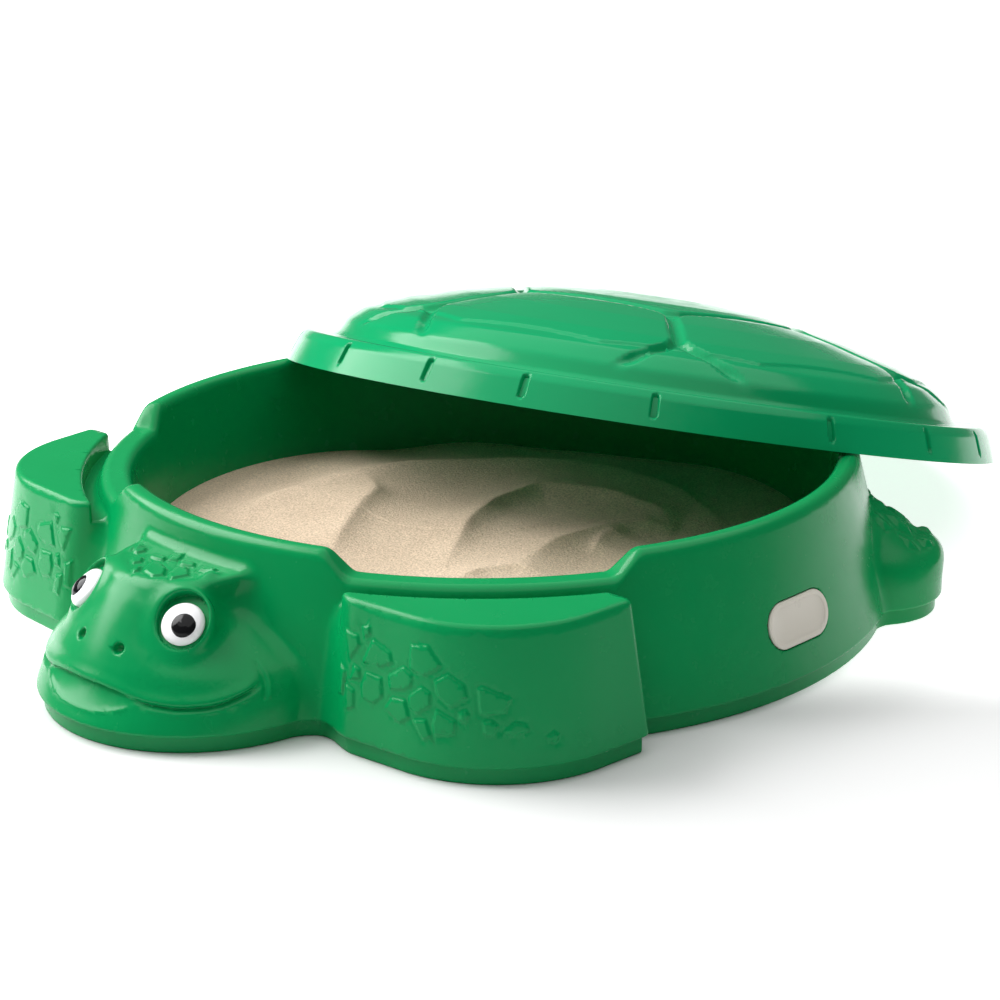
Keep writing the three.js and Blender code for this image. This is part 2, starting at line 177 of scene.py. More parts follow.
def seat(x, y, z):
    """A front-leg seat: rounded in front and cut off straight behind, with a groove along the rim."""
    c, s = math.cos(math.radians(SEAT_LEAN)), math.sin(math.radians(SEAT_LEAN))
    qx, qy = np.abs(x) - SEAT_CORNER[0], y - SEAT_CORNER[1]
    front, side = qx * s - qy * c, qx * c - qy * s
    round_corner = (qx * c + qy * s > 0) & (qx * s + qy * c < 0)
    reach = np.where(round_corner, np.hypot(qx, qy), np.maximum(front, side))
    field = (reach - SEAT_RADIUS - (SEAT_TOP - z) * SEAT_FLARE) * 0.986
    field = convex(field, SEAT_END + (SEAT_TOP - z) * 0.06 - np.abs(x), SEAT_END_ROUND)
    field = convex(field, y - SEAT_BACK - (SEAT_TOP - z) * 0.02, 11)
    field = convex(field, z - SEAT_TOP, 6)
    groove = np.maximum(np.hypot(x, y) - GROOVE_RADIUS, GROOVE_FLOOR - z)
    return convex(field, -groove, 4)


def leg(x, y, z):
    """A rear leg: a paw that tapers upwards, with a swelling for the toes."""
    c, s = math.cos(math.radians(LEG_ANGLE)), math.sin(math.radians(LEG_ANGLE))
    u, v = np.abs(x) * c + y * s, np.abs(y * c - np.abs(x) * s)
    paw = convex(u - leg_reach(z), v - leg_width(z), LEG_ROUND) * 0.9
    toe = ellipsoid(u, v, z, TOE, TOE_SIZE) * TOE_SIZE[2]
    return smooth_min(paw, toe, 6)


def eye_frame(x, y, z):
    """Place relative to an eye: along its gaze, across it, and towards its brow."""
    d = (np.abs(x) - EYE[0], y - EYE[1], z - EYE[2])
    return [sum(a * n for a, n in zip(d, axis)) for axis in (GAZE, EYE_ACROSS, EYE_UP)]


def ellipsoid(x, y, z, middle, radii):
    """A value that is 0 on an ellipsoid and -1 in its middle."""
    return np.sqrt(sum(((p - m) / r) ** 2 for p, m, r in zip((x, y, z), middle, radii))) - 1


def lips(angle, z):
    """How far the head's surface is pushed out along the mouth."""
    upper, lower = upper_lip(angle), lower_lip(angle)
    front = 1 - smoothstep(LIPS_MEET - 6, LIPS_MEET + 4, angle)
    ends = 1 - smoothstep(MOUTH_CORNER - 6, MOUTH_CORNER + 1, angle)
    below = z - upper
    gap = np.maximum(upper - lower, 0.5)
    overhang = 2.4 * np.exp(-((below - 4) / 6) ** 2)
    t = np.clip(-below / gap, 0, 1)
    chin = -np.minimum(5.5, gap * 0.24) * (1 - t) * smoothstep(0, 1.5, -below)
    edge = 0.9 * np.exp(-((z - lower) / 2.4) ** 2) * (1 - smoothstep(18, 28, angle))
    groove = -4.6 * np.exp(-((below + 1.5) / 2.6) ** 2)
    ledge = 0.8 * np.exp(-((below + 6) / 2.2) ** 2)
    return ends * (overhang + front * (chin + edge) + (1 - front) * (groove + ledge))


def crease(angle, z):
    """The fold across each corner of the mouth."""
    bend = 73.2 - ((z - 69) / 17) ** 2 * 1.6
    length = smoothstep(48, 54, z) * (1 - smoothstep(80, 86, z))
    return length * (0.9 * np.exp(-((angle - bend - 1.2) / 1.1) ** 2)
                     - 1.6 * np.exp(-((angle - bend + 0.7) / 1.0) ** 2))


def head(x, y, z):
    """The turtle's head: skull with its mouth, temples, brows, eye housings and nostrils."""
    rho, angle = polar(x, y, 0, HEAD_Y)
    a, b = head_width(z), head_reach(z)
    t = np.radians(angle)
    radius = 1 / np.hypot(np.sin(t) / a, np.cos(t) / b)
    skull = (rho - radius - lips(angle, z) - crease(angle, z)) * 0.85
    skull = convex(skull, z - CROWN_TOP, CROWN_ROUND)
    temple = ellipsoid(np.abs(x), y, z, TEMPLE, TEMPLE_SIZE)
    skull = smooth_max(skull, -temple * 16, 18)
    away = (np.abs(x) - HORN[0], (y - HORN[1]) * 0.7, z - HORN[2])
    horn = np.sqrt(sum(d ** 2 for d in away)) - HORN_RADIUS
    skull = smooth_min(skull, horn, 5)
    along, across, up = eye_frame(x, y, z)
    tube = np.hypot(across + 2, (up - 2) * 0.97)
    lid_plane = (along - 3) * 0.95 - (up - 4) * 0.16
    housing = convex(tube - HOUSING_RADIUS, lid_plane, 6)
    housing = np.maximum(housing, -60 - along)
    skull = smooth_min(skull, housing, 16)
    socket = np.hypot(across + 0.5, (up - 3.5) * 0.9) - SOCKET_RADIUS
    skull = convex(skull, -np.maximum(socket, SOCKET_FLOOR - along), 2.5)
    nostril = ellipsoid(np.abs(x), y, z, NOSTRIL, NOSTRIL_SIZE)
    return smooth_max(skull, -nostril * 5.5, 2.5)


def upper_body(x, y, z):
    """Wall, seats, legs and head run together, with the basin cut out."""
    sweep = (1 - smoothstep(220, 270, np.abs(x))) * (1 - smoothstep(112, 158, z))
    body = concave(wall(x, y, z), seat(x, y, z), 6 + 16 * sweep)
    body = concave(body, leg(x, y, z), 9)
    body = concave(body, head(x, y, z), 12)
    basin = np.maximum(basin_side(np.hypot(x, y), z), BASIN_FLOOR - z)
    return np.maximum(body, -basin)


BADGE_Z, POCKET_LENGTH, POCKET_HEIGHT, POCKET_DEPTH = 80.0, 106.4, 54.4, 4.5
BADGE_LEAN = math.atan(WALL_SLOPE)
# The pocket touches only the part of the tub this near to POCKET_X.
POCKET_X, POCKET_REACH = 472, 26


def badge_pocket(x, y, z):
    """The pill-shaped pocket for the name-plate blank, square to the left side's wall."""
    c, s = math.cos(BADGE_LEAN), math.sin(BADGE_LEAN)
    aside = x - wall_radius(BADGE_Z)
    out = aside * c + (z - BADGE_Z) * s
    rise = (z - BADGE_Z) * c - aside * s
    straight = POCKET_LENGTH / 2 - POCKET_HEIGHT / 2
    pill = np.hypot(np.maximum(np.abs(y) - straight, 0), rise) - POCKET_HEIGHT / 2
    return np.maximum(pill, -POCKET_DEPTH - out)


def symmetric_field(x, y, z):
    """Distance to the tub's surface, without the raised scales and the badge's pocket."""
    plan = upper_body(x, y, np.full(np.shape(z), float(WALL_FOOT)))
    band = convex(np.maximum(plan + BAND_INSET, z - BAND_TOP), -z, 2)
    return np.minimum(convex(upper_body(x, y, z), LEDGE - z, 2.5), band)


# ---- Raised scales, as reliefs laid out on flat maps ----

MAP_STEP = 0.5


def plate_map(width, height, plates, lift, edge):
    """A relief of flat plates with bevelled edges, each given by the corners of its outline."""
    u, v = np.meshgrid(np.arange(0, width, MAP_STEP), np.arange(0, height, MAP_STEP), indexing="ij")
    relief = np.zeros_like(u)
    for outline in plates:
        corners = np.array(outline, float)
        middle = corners.mean(0)
        d = np.full_like(u, -1e3)
        for a, b in zip(corners, np.roll(corners, -1, axis=0)):
            out = np.array([b[1] - a[1], a[0] - b[0]]) / np.linalg.norm(b - a)
            out *= np.sign((a - middle) @ out)
            d = smooth_max(d, (u - a[0]) * out[0] + (v - a[1]) * out[1], 1.5)
        moat = 0.22 * lift * np.exp(-((d - 1.4) / 1.6) ** 2)
        relief = np.where(d < 0, np.maximum(relief, 0) + lift * (1 - smoothstep(-edge, 0, d)), relief)
        relief = relief - np.where(d < 0, 0, moat)
    return relief


def sample(relief, u, v):
    """Bilinear look-up in a relief map, zero outside it."""
    a, b = u / MAP_STEP, v / MAP_STEP
    inside = (a >= 0) & (b >= 0) & (a < relief.shape[0] - 2) & (b < relief.shape[1] - 2)
    a, b = np.where(inside, a, 0), np.where(inside, b, 0)
    i, j = a.astype(int), b.astype(int)
    s, t = a - i, b - j
    low = relief[i, j] * (1 - s) + relief[i + 1, j] * s
    high = relief[i, j + 1] * (1 - s) + relief[i + 1, j + 1] * s
    return np.where(inside, low * (1 - t) + high * t, 0)


# Corners of each plate: along the seat's outline and height, in millimetres.
SEAT_PLATES = [
    [(12, 130), (32, 128), (36, 118), (23, 99)],
    [(36, 139), (47, 141), (48, 132), (39, 126)],
    [(51, 129), (76, 121), (80, 110), (62, 101), (40, 102)],
    [(100, 134), (122, 138), (139, 120), (132, 113), (118, 105), (101, 110)],
    [(75, 97), (94, 111), (106, 105), (107, 94), (97, 86), (79, 83)],
    [(46, 94), (68, 93), (72, 74), (60, 63), (44, 66), (41, 78)],
    [(131, 103), (146, 113), (165, 103), (168, 90), (151, 79), (136, 89)],
    [(103, 83), (118, 96), (129, 91), (130, 77), (115, 66), (105, 72)],
    [(83, 77), (100, 78), (108, 61), (96, 52), (74, 63)],
    [(136, 76), (157, 67), (157, 53), (135, 48), (132, 61)],
    [(110, 60), (126, 64), (133, 47), (124, 42)],
    [(160, 76), (167, 79), (171, 73), (166, 64), (159, 68)],
    [(177, 101), (183, 103), (212, 91), (205, 77), (180, 75)],
    [(183, 68), (192, 70), (199, 64), (194, 55), (184, 55)],
    [(203, 58), (215, 68), (226, 65), (229, 58), (214, 54)],
    [(245, 50), (253, 55), (259, 50), (256, 43), (248, 44)],
    [(30, 98), (39, 95), (40, 84), (26, 81)],
    [(20, 76), (34, 72), (36, 54), (24, 48)],
    [(8, 94), (20, 88), (18, 62), (8, 60)],
]
# Corners of each plate on the crown, in plan.
CROWN_PLATES = [
    [(-16, -494), (-3, -491), (16, -498), (29, -514), (21, -524), (0, -518)],
    [(-14, -523), (-12, -509), (-1, -522), (-3, -530)],
    [(-37, -506), (-39, -496), (-29, -492), (-20, -503), (-23, -514)],
    [(-53, -490), (-60, -478), (-50, -470), (-43, -479), (-45, -490)],
    [(-30, -487), (-27, -475), (-11, -475), (-7, -485), (-18, -489)],
    [(28, -508), (18, -488), (28, -479), (48, -495), (42, -516)],
    [(-6, -482), (-17, -461), (-5, -456), (6, -475)],
    [(2, -470), (24, -465), (33, -475), (15, -483)],
    [(42, -480), (36, -464), (56, -462), (62, -474)],
]
# Corners of each plate on a rear leg: outwards from the wall and across.
LEG_PLATES = [
    [(6, 50), (6, 64), (24, 70), (36, 60), (24, 48)],
    [(30, 44), (44, 54), (62, 48), (66, 38), (46, 32)],
    [(30, 74), (46, 64), (62, 72), (60, 84), (40, 88)],
    [(52, 58), (70, 52), (84, 58), (70, 68)],
    [(70, 40), (86, 46), (90, 36), (78, 28)],
    [(68, 80), (84, 72), (92, 82), (78, 92)],
    [(8, 26), (20, 36), (40, 26), (30, 16)],
    [(8, 94), (22, 84), (38, 94), (28, 104)],
    [(48, 22), (62, 26), (70, 18), (58, 12)],
    [(48, 98), (62, 94), (70, 102), (58, 108)],
]
PLATE_ORIGIN = {"seat": (96, 0), "crown": (95, 550), "leg": (-446, 60)}
# Radius at which the seat's plates are laid round its front corner.
SEAT_TURN_RADIUS = 153


def shifted(plates, origin):
    return [[(u + origin[0], v + origin[1]) for u, v in outline] for outline in plates]


seat_relief = plate_map(280, 150, SEAT_PLATES, 1.5, 2.6)
crown_relief = plate_map(190, 120, shifted(CROWN_PLATES, PLATE_ORIGIN["crown"]), 2.2, 3.2)
leg_relief = plate_map(110, 120, LEG_PLATES, 4.5, 6.0)


def scales(x, y, z):
    """Height of the raised scales over the tub's plain surface, at points close to it."""
    side = np.abs(x)
    c, s = math.cos(math.radians(SEAT_LEAN)), math.sin(math.radians(SEAT_LEAN))
    qx, qy = side - SEAT_CORNER[0], y - SEAT_CORNER[1]
    bend = np.arctan2(qx * c + qy * s, qx * s - qy * c)
    along = np.where(bend > 0, bend * SEAT_TURN_RADIUS, qx * c + qy * s) + PLATE_ORIGIN["seat"][0]
    on_seat = (z < 150) & (np.hypot(x, y) > GROOVE_RADIUS + 2) & (y < -200) & (side > 190)
    height = np.where(on_seat, sample(seat_relief, along, z), 0)
    u, v = PLATE_ORIGIN["crown"]
    on_crown = (z > 142) & (y < -452) & (side < 95)
    height = height + np.where(on_crown, sample(crown_relief, x + u, y + v), 0)
    c, s = math.cos(math.radians(LEG_ANGLE)), math.sin(math.radians(LEG_ANGLE))
    u, v = side * c + y * s + PLATE_ORIGIN["leg"][0], y * c - side * s + PLATE_ORIGIN["leg"][1]
    on_leg = (z > 78) & (z < 130) & (u > 12) & (y > 0)
    return height + np.where(on_leg, sample(leg_relief, u, v), 0)


def full_field(x, y, z):
    """Distance to the tub's finished surface."""
    plain = symmetric_field(x, y, z) - scales(x, y, z)
    return np.where(x > 400, np.maximum(plain, -badge_pocket(x, y, z)), plain)


# ---- Meshing ----

def gradient(field, p, step=0.4):
    out = np.empty_like(p)
    for axis in range(3):
        d = np.zeros(3)
        d[axis] = step
        out[:, axis] = (field(*(p + d).T) - field(*(p - d).T)) / (2 * step)
    return out


def new_mesh(name, vertices, faces, normals=None):
    """A smooth-shaded object from vertices in millimetres."""
    mesh = bpy.data.meshes.new(name)
    mesh.from_pydata((np.asarray(vertices) * MM).tolist(), [], faces)
    mesh.validate()
    mesh.shade_smooth()
    if normals is not None:
        mesh.normals_split_custom_set_from_vertices(normals.tolist())
    made = bpy.data.objects.new(name, mesh)
    bpy.context.scene.collection.objects.link(made)
    return made


def mesh_field(name, low, high, symmetric, whole):
    """Meshes the tub: symmetric is mirrored across x, and whole has the one-sided details too.

    The field is worked out roughly first, once per block of voxels, and in full only near the surface.
    """
    counts = [int(math.ceil((h - l) / VOXEL / BLOCK)) * BLOCK for l, h in zip(low, high)]
    axes = [l + VOXEL * (0.5 + np.arange(n)) for l, n in zip(low, counts)]
    middles = [a.reshape(-1, BLOCK).mean(1) for a in axes]
    coarse = symmetric(*np.meshgrid(*middles, indexing="ij"))
    values = coarse.astype(np.float32)
    for axis in range(3):
        values = values.repeat(BLOCK, axis)
    values = np.concatenate([values[::-1], values])
    x = np.concatenate([-axes[0][::-1], axes[0]])
    cells = np.argwhere(np.abs(coarse) < 3.5 * VOXEL + 8)
    within = np.stack(np.meshgrid(*[np.arange(BLOCK)] * 3, indexing="ij"), -1).reshape(-1, 3)
    for start in range(0, len(cells), CHUNK):
        part = cells[start:start + CHUNK]
        index = (part[:, None, :] * BLOCK + within[None]).reshape(-1, 3).T
        points = [a[i] for a, i in zip(axes, index)]
        plain = symmetric(*points)
        mirrored = (index[0] + counts[0], counts[0] - 1 - index[0])
        for place, sign in zip(mirrored, (1, -1)):
            values[(place, *index[1:])] = plain - scales(sign * points[0], *points[1:])
    side = np.argwhere(np.abs(x - POCKET_X) < POCKET_REACH)[:, 0]
    points = [x[side][:, None, None], axes[1][None, :, None], axes[2][None, None, :]]
    pocket = badge_pocket(*points)
    values[side] = np.maximum(values[side], -pocket)
    grid = openvdb.FloatGrid(50.0)
    grid.copyFromArray(np.clip(values, -50, 50))
    points, triangles, quads = grid.convertToPolygons(0.0, ADAPTIVITY)
    p = points.astype(float) * VOXEL + np.array([x[0], axes[1][0], axes[2][0]])
    for _ in range(3):
        g = gradient(whole, p)
        move = (whole(*p.T) / np.maximum((g * g).sum(1), 0.2))[:, None] * g
        p -= np.clip(move, -VOXEL / 2, VOXEL / 2)
    g = gradient(whole, p)
    normals = g / np.maximum(np.linalg.norm(g, axis=1), 1e-6)[:, None]
    faces = triangles.tolist() + quads.tolist()
    print(name, "has", len(p), "vertices and", len(faces), "faces")
    return new_mesh(name, p, faces, normals)


def grid_faces(rows, columns, flip=False):
    """Quads of a grid whose columns close on themselves."""
    i, j = np.meshgrid(np.arange(rows - 1), np.arange(columns), indexing="ij")
    k = (j + 1) % columns
    quad = [i * columns + j, i * columns + k, (i + 1) * columns + k, (i + 1) * columns + j]
    faces = np.stack(quad, -1).reshape(-1, 4)
    return (faces[:, ::-1] if flip else faces).tolist()


# ---- The cover: a shell of raised plates over a flange and a skirt ----

LID_SKIN, LID_TURN = 4.0, 15.0
LID_CENTRE = (-71.9, 375.9, 129.0)
LID_LEAN, LID_ROLL = 15.38, -3.03
HEX_RADIUS, FORK_RADIUS, FORK_END = 207.0, 335.0, 440
# Radius and height of the cover's outline from its middle to the skirt's lower edge.
LID_PROFILE = [
    (0, 146.5), (75, 144), (150, 136.5), (200, 128.5), (256, 116), (325, 97), (374, 80), (398, 62),
    (407, 45), (413, 40), (447, 42), (455, 33), (468, 0),
]
PROFILE_ROUND = [0, 60, 60, 60, 60, 60, 34, 24, 8, 4, 7, 4, 0]
PLATE_END, PLATE_STEP = 352.0, 2.6
COVER_FINE, COLUMN_STEP = 0.6, 0.8
OUTER_EVERY, INNER_EVERY = 6, 40
# Directions of the skirt's slots in degrees to either side of the front.
SLOTS = [8.1, 27.4, 54.4, 74.5, 92.5, 107, 127, 152.5, 172]
SLOT_TURN, SLOT_Z, SLOT_REACH, SLOT_DEPTH = -1.3, 24, 9.5, 8
SKIRT_RADIUS = 460


def on_cover(radius, degrees):
    t = math.radians(degrees - 90 + LID_TURN)
    return np.array([radius * math.cos(t), radius * math.sin(t)])


def groove_lines():
    """Ends of each groove: a hexagon, a line out of each corner of it, and a fork at each line's end."""
    lines = []
    for a in range(0, 360, 60):
        lines.append((on_cover(HEX_RADIUS, a - 30), on_cover(HEX_RADIUS, a + 30)))
        lines.append((on_cover(HEX_RADIUS, a + 30), on_cover(FORK_RADIUS, a + 30)))
        for b in (15, 45):
            lines.append((on_cover(FORK_RADIUS, a + 30), on_cover(FORK_END, a + b)))
    return lines


def plates(x, y):
    """How far the cover's surface is let down in the grooves and raised on the plates."""
    near = np.full(np.shape(x), 1e3)
    for a, b in groove_lines():
        d = b - a
        t = np.clip(((x - a[0]) * d[0] + (y - a[1]) * d[1]) / (d @ d), 0, 1)
        near = smooth_min(near, np.hypot(x - a[0] - t * d[0], y - a[1] - t * d[1]), 11)
    from_axis = np.hypot(x, y)
    depth = 4.2 + 1.8 * smoothstep(250, 350, from_axis)
    bevel = smoothstep(0.5, 11.0, near)
    crown = 1 - (1 - np.clip(near / 60, 0, 1)) ** 2
    over = 1 - smoothstep(380, 404, from_axis)
    ends = [x * c + y * s for c, s in (on_cover(1, a) for a in range(0, 360, 30))]
    step = PLATE_STEP * (1 - smoothstep(PLATE_END - 3, PLATE_END + 4, np.max(ends, axis=0)))
    return (-depth * (1 - bevel) + (crown + step) * bevel) * over


def rounded(points, radii, step):
    """A polyline with rounded corners, sampled about every step."""
    pts = np.array(points, float)
    path = [pts[0]]
    for a, b, c, r in zip(pts, pts[1:], pts[2:], radii[1:]):
        u, v = (a - b) / np.linalg.norm(a - b), (c - b) / np.linalg.norm(c - b)
        half = math.acos(np.clip(u @ v, -1, 1)) / 2
        cut = min(r / math.tan(half), np.linalg.norm(a - b) * 0.49, np.linalg.norm(c - b) * 0.49)
        start, end = b + u * cut, b + v * cut
        for t in np.linspace(0, 1, 7):
            path.append((1 - t) ** 2 * start + 2 * t * (1 - t) * b + t * t * end)
    path = np.array(path + [pts[-1]])
    length = np.concatenate([[0], np.cumsum(np.linalg.norm(np.diff(path, axis=0), axis=1))])
    count = int(length[-1] / step)
    at = np.linspace(0, length[-1], count)
    return np.stack([np.interp(at, length, path[:, k]) for k in (0, 1)], 1)


def slot_depth(degrees, z):
    """Depth of the short upright slots round the cover's skirt."""
    depth = 0
    for s in SLOTS + [-s for s in SLOTS]:
        across = np.abs((degrees - s - SLOT_TURN + 180) % 360 - 180) * math.radians(SKIRT_RADIUS)
        shape = np.hypot(across, np.maximum(np.abs(z - SLOT_Z) - SLOT_REACH, 0))
        depth = np.maximum(depth, SLOT_DEPTH * (1 - smoothstep(1.8, 5.2, shape)))
    return depth


def cover_surface(curve, normal, degrees, inset):
    """Points of the cover's skin over its profile, a grid of profile places and directions."""
    t = np.radians(degrees - 90 + LID_TURN)[None]
    r, z = curve[:, :1], curve[:, 1:]
    lift = plates(r * np.cos(t), r * np.sin(t)) - inset
    if inset == 0:
        lift = lift - slot_depth(degrees[None], z)
    r = np.maximum(r + lift * normal[:, :1], 0)
    return np.stack([r * np.cos(t), r * np.sin(t), z + lift * normal[:, 1:]], -1)


def cover_skin(degrees, every, inset):
    """One side of the cover, with the shading normals of its true surface."""
    curve = rounded(LID_PROFILE[::-1], PROFILE_ROUND[::-1], COVER_FINE)[::-1]
    tangent = np.gradient(curve, axis=0)
    normal = np.stack([-tangent[:, 1], tangent[:, 0]], 1) / np.linalg.norm(tangent, axis=1)[:, None]
    last = len(curve) - 1
    rows = np.unique(np.append(np.arange(0, last, every), last))
    ahead, behind = np.minimum(rows + 2, last), np.maximum(rows - 2, 0)
    along = (cover_surface(curve[ahead], normal[ahead], degrees, inset)
             - cover_surface(curve[behind], normal[behind], degrees, inset))
    turned = (cover_surface(curve[rows], normal[rows], degrees + 0.15, inset)
              - cover_surface(curve[rows], normal[rows], degrees - 0.15, inset))
    facing = np.cross(along, turned)
    facing[0] = (0, 0, 1)
    facing /= np.maximum(np.linalg.norm(facing, axis=-1), 1e-9)[..., None]
    return cover_surface(curve[rows], normal[rows], degrees, inset), facing


def make_cover():
    """The cover, turned and leant to where it rests."""
    over_slot = np.array([-1.0, -0.66, -0.33, 0, 0.33, 0.66, 1.0]) * COLUMN_STEP
    slots = np.array(SLOTS + [-s for s in SLOTS]) + SLOT_TURN
    even = np.arange(-180, 180, COLUMN_STEP)
    clear = np.abs((even[:, None] - slots[None] + 180) % 360 - 180).min(1) > 1.0
    degrees = np.sort(np.concatenate([even[clear], (slots[:, None] + over_slot[None]).ravel()]))
    outer, facing_out = cover_skin(degrees, OUTER_EVERY, 0)
    inner, facing_in = cover_skin(degrees, INNER_EVERY, LID_SKIN)
    inner[-1, :, 2] = 0
    vertices = np.concatenate([outer.reshape(-1, 3), inner[::-1].reshape(-1, 3)])
    facing = np.concatenate([facing_out.reshape(-1, 3), -facing_in[::-1].reshape(-1, 3)])
    rows = len(outer) + len(inner)
    made = new_mesh("cover_shell", vertices, grid_faces(rows, len(degrees), flip=True), facing)
    roll = Matrix.Rotation(math.radians(LID_ROLL), 4, "Y")
    lean = Matrix.Rotation(-math.radians(LID_LEAN), 4, "X")
    made.data.transform(Matrix.Translation(Vector(LID_CENTRE) * MM) @ roll @ lean)
    return made


# ---- The sand ----

SAND_RADIUS, SAND_EDGE, SAND_BOTTOM = 401.0, 72.0, 30.0
SAND_RINGS, SAND_COLUMNS = 150, 440
DIP_ANGLE, DIP_WIDTH, DIP = 129.0, 38.0, 23.0
# Waves of the sand's edge: degrees from the dip, width in degrees, and rise.
EDGE_WAVES = [(6, 11, 8), (23, 7, -3), (-30, 14, -5)]
# Points along each crest, how far the slope behind it runs, and its height.
RIDGES = [
    ([(230, 170), (190, 220), (100, 258), (-10, 258), (-140, 210), (-230, 110), (-262, 30),
      (-270, -90), (-250, -150), (-210, -210)], 90, 15),
    ([(-70, -190), (-100, -140), (-140, -70), (-172, -8), (-250, 45)], 70, 15),
    ([(60, -135), (30, -80), (-10, -10), (-42, 70), (-36, 140), (40, 172), (130, 180), (180, 150)], 75, 19),
    ([(125, -85), (108, 10), (120, 100), (142, 142), (175, 158)], 60, 15),
    ([(130, 110), (132, 66), (152, 25)], 34, 8),
    ([(100, -170), (98, -110), (122, -72), (175, -60)], 50, 10),
    ([(300, 60), (260, 0), (240, -90), (190, -160)], 70, 9),
]


def crest(points, spread, height, x, y):
    """A wind-blown ridge: a long gentle slope on one side of its line and a short one on the other."""
    best = np.full(x.shape, 1e9)
    offset = np.zeros(x.shape)
    fade = np.zeros(x.shape)
    path = np.array(points, float)
    fine = np.linspace(0, len(path) - 1, 10 * len(path))
    curve = np.stack([np.interp(fine, np.arange(len(path)), path[:, k]) for k in (0, 1)], 1)
    for _ in range(6):
        curve[1:-1] = (curve[:-2] + 2 * curve[1:-1] + curve[2:]) / 4
    for k, (a, b) in enumerate(zip(curve, curve[1:])):
        d = b - a
        t = np.clip(((x - a[0]) * d[0] + (y - a[1]) * d[1]) / (d @ d), 0, 1)
        dx, dy = x - a[0] - t * d[0], y - a[1] - t * d[1]
        away = np.hypot(dx, dy)
        nearer = away < best
        best = np.where(nearer, away, best)
        offset = np.where(nearer, np.sign(d[0] * dy - d[1] * dx), offset)
        place = (k + t) / (len(curve) - 1)
        fade = np.where(nearer, np.clip(np.minimum(place, 1 - place) * 4, 0, 1), fade)
    gentle = np.exp(-best / spread)
    steep = np.exp(-best / (spread * 0.28))
    soft = 1 - np.exp(-best / 3)
    return height * fade * (np.where(offset > 0, gentle, steep) - 0.08 * (1 - soft))


def sand_height(x, y):
    """Height of the sand's surface, with its ridges fading out towards the wall."""
    r = np.hypot(x, y)
    away = (np.degrees(np.arctan2(y, x)) - DIP_ANGLE + 180) % 360 - 180
    wave = sum(lift * np.exp(-((away - at) / wide) ** 2) for at, wide, lift in EDGE_WAVES)
    edge = SAND_EDGE + (wave - DIP * np.exp(-(away / DIP_WIDTH) ** 2)) * smoothstep(240, 400, r)
    fade = 1 - smoothstep(SAND_RADIUS * 0.7, SAND_RADIUS * 1.0, r)
    height = -6 + 2 * np.sin(x * 0.021 + y * 0.012) + 2 * np.cos(x * 0.013 - y * 0.024)
    for points, spread, lift in RIDGES:
        height = height + crest(points, spread, lift, x, y)
    return edge + fade * height


def make_sand():
    """The sand as a closed body: surface, side against the wall, and flat bottom."""
    radii = np.concatenate([[0.01], np.linspace(2.6, SAND_RADIUS, SAND_RINGS)])
    t = np.linspace(0, 2 * math.pi, SAND_COLUMNS, endpoint=False)
    x, y = radii[:, None] * np.cos(t), radii[:, None] * np.sin(t)
    top = np.stack([x, y, sand_height(x, y)], -1)
    skirt = top[-1:] * [1, 1, 0] + [0, 0, SAND_BOTTOM]
    floor = skirt * [0.001, 0.001, 1]
    grid = np.concatenate([floor, skirt, top[::-1]])
    return new_mesh("sand_surface", grid.reshape(-1, 3), grid_faces(len(grid), len(t)))


# ---- Eyes and name-plate blank ----

def lathe(name, profile_points, sides=96):
    """A turned piece about +Z; the profile runs from the axis at the bottom to the axis at the top."""
    points = np.array(profile_points, float)
    t = np.linspace(0, 2 * math.pi, sides, endpoint=False)
    r, z = np.maximum(points[:, :1], 0.001), points[:, 1:]
    vertices = np.stack([r * np.cos(t), r * np.sin(t), z + 0 * t], -1)
    return new_mesh(name, vertices.reshape(-1, 3), grid_faces(len(points), sides))


def at_eye(made, side, outward=0.0, lower=0.0):
    """Moves a piece made about +Z onto an eye; side is 1 for the turtle's left and -1 for its right."""
    gaze = Vector((GAZE[0] * side, GAZE[1], GAZE[2]))
    middle = EYE + EYE_ACROSS * outward - EYE_UP * lower
    place = Vector((middle[0] * side, middle[1], middle[2])) * MM
    made.data.transform(Matrix.Translation(place) @ gaze.to_track_quat("Z", "Y").to_matrix().to_4x4())
    return made


# Outline from the axis underneath to the axis on top, with the rounding of each corner.
EYE_FINE = 0.8
WHITE_PROFILE = [(0, -2.8), (23.2, -2.8), (23.5, 1.5), (21.5, 5.6), (15, 8.6), (7.5, 9.8), (0, 10)]
WHITE_ROUND = [0, 0.5, 2.0, 6, 14, 20, 0]
PUPIL_PROFILE = [(0, 1), (14.0, 1), (14.3, 7.4), (10.5, 10.6), (5, 12.2), (0, 12.6)]
PUPIL_ROUND = [0, 0.3, 1.2, 6, 12, 0]
PUPIL_OFFSET = 3.4


def make_eye(side, label):
    """The white and the pupil of one eye."""
    white = lathe("eye_white_ball_" + label, rounded(WHITE_PROFILE, WHITE_ROUND, EYE_FINE))
    pupil = lathe("eye_pupil_dome_" + label, rounded(PUPIL_PROFILE, PUPIL_ROUND, EYE_FINE))
    return at_eye(white, side), at_eye(pupil, side, PUPIL_OFFSET, PUPIL_OFFSET)


BADGE_LENGTH, BADGE_HEIGHT, BADGE_BACK, BADGE_SIDES = 104.0, 52.0, -4.1, 160
# Distance in from the badge's edge and height over the wall, from its back round to its face.
BADGE_LEVELS = [
    (BADGE_HEIGHT / 2, BADGE_BACK), (0.0, BADGE_BACK), (0.0, -1.6), (0.6, -1.0), (1.2, -0.85),
    (5.2, -0.85), (5.8, -1.1), (6.3, -2.0), (6.9, -2.25), (BADGE_HEIGHT / 2, -2.25),
]


